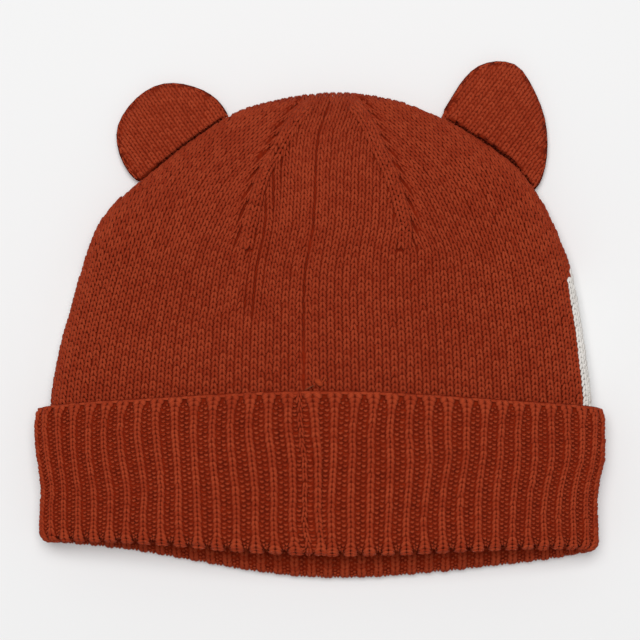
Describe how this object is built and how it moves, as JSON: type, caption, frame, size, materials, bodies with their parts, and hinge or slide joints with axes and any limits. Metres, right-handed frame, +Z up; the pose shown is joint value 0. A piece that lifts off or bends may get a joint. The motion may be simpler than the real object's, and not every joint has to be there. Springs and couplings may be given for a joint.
{
  "type": "knitted baby hat with ears",
  "caption": "Knitted baby hat with two padded ears and a turned-up ribbed cuff, lying flat on its front with the back seam upwards",
  "frame": {"origin": "on the surface the hat lies on, below the middle of its box", "axes": "+X across the hat to the right seen from above, +Y from its mouth towards its top, +Z up from the surface"},
  "size_m": [0.19, 0.1728, 0.0362],
  "materials": {
    "plain_knit": "rust cotton in plain knit, matt with a slight fuzz",
    "ribbed_knit": "the same rust cotton in one-and-one rib",
    "ear_knit": "the same rust cotton in plain knit, two layers lightly padded",
    "cream_knit": "cream cotton knitted into the plain knit"
  },
  "bodies": {
    "root": {"crown": "plain_knit", "cuff": "ribbed_knit", "ear_left": "ear_knit", "ear_right": "ear_knit", "cream_panel_left": "cream_knit", "cream_panel_right": "cream_knit"}
  },
  "joints": []
}
